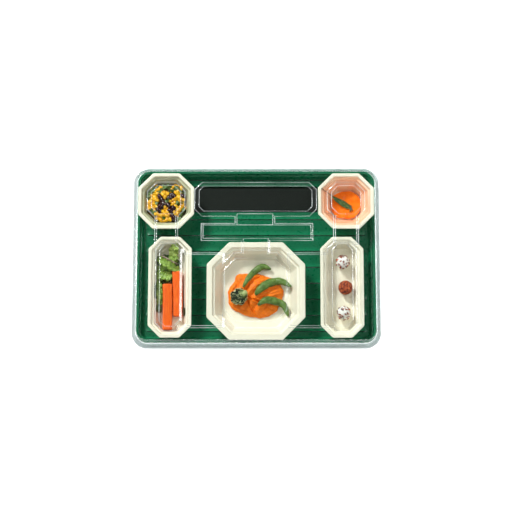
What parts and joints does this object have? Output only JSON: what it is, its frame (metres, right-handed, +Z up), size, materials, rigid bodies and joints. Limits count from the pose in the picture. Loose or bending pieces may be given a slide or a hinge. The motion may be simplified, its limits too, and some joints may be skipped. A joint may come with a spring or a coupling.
{
  "type": "airline meal tray",
  "caption": "Rectangular meal tray with rounded corners, cut-cornered dishes and bowls holding a plated meal, closed by a clear moulded lid.",
  "frame": {"origin": "under the middle of the lid's base flange, on the surface that the tray stands on", "axes": "+X along the tray's long side, -Y towards the eater, +Z up"},
  "size_m": [0.358, 0.265, 0.048],
  "materials": {
    "tray": "dark green moulded plastic, satin",
    "well_liner": "near-black sheet",
    "dish": "ivory moulded plastic, smooth",
    "lid": "clear formed plastic, thin and glossy",
    "mash": "moist orange vegetable mash",
    "pod": "cooked green pod",
    "broccoli": "dark green buds on a pale stalk",
    "carrot": "cut raw carrot",
    "greens": "fresh salad leaves",
    "corn_salad": "corn kernels with dark beans and green bits",
    "puree": "wet orange puree",
    "herb": "green leaf on a brown stalk",
    "ball_white": "white ball with red-brown flakes",
    "ball_red": "red-brown crumb coat"
  },
  "bodies": {
    "root": {"tray": "tray", "well_liner": "well_liner", "plate": "dish", "dish_left": "dish", "dish_right": "dish", "bowl_left": "dish", "bowl_right": "dish", "lid": "lid", "mash": "mash", "pod_1": "pod", "pod_2": "pod", "pod_3": "pod", "broccoli": "broccoli", "carrot_1": "carrot", "carrot_2": "carrot", "greens": "greens", "corn_salad": "corn_salad", "puree": "puree", "herb": "herb", "ball_1": "ball_white", "ball_2": "ball_red", "ball_3": "ball_white"}
  },
  "joints": []
}
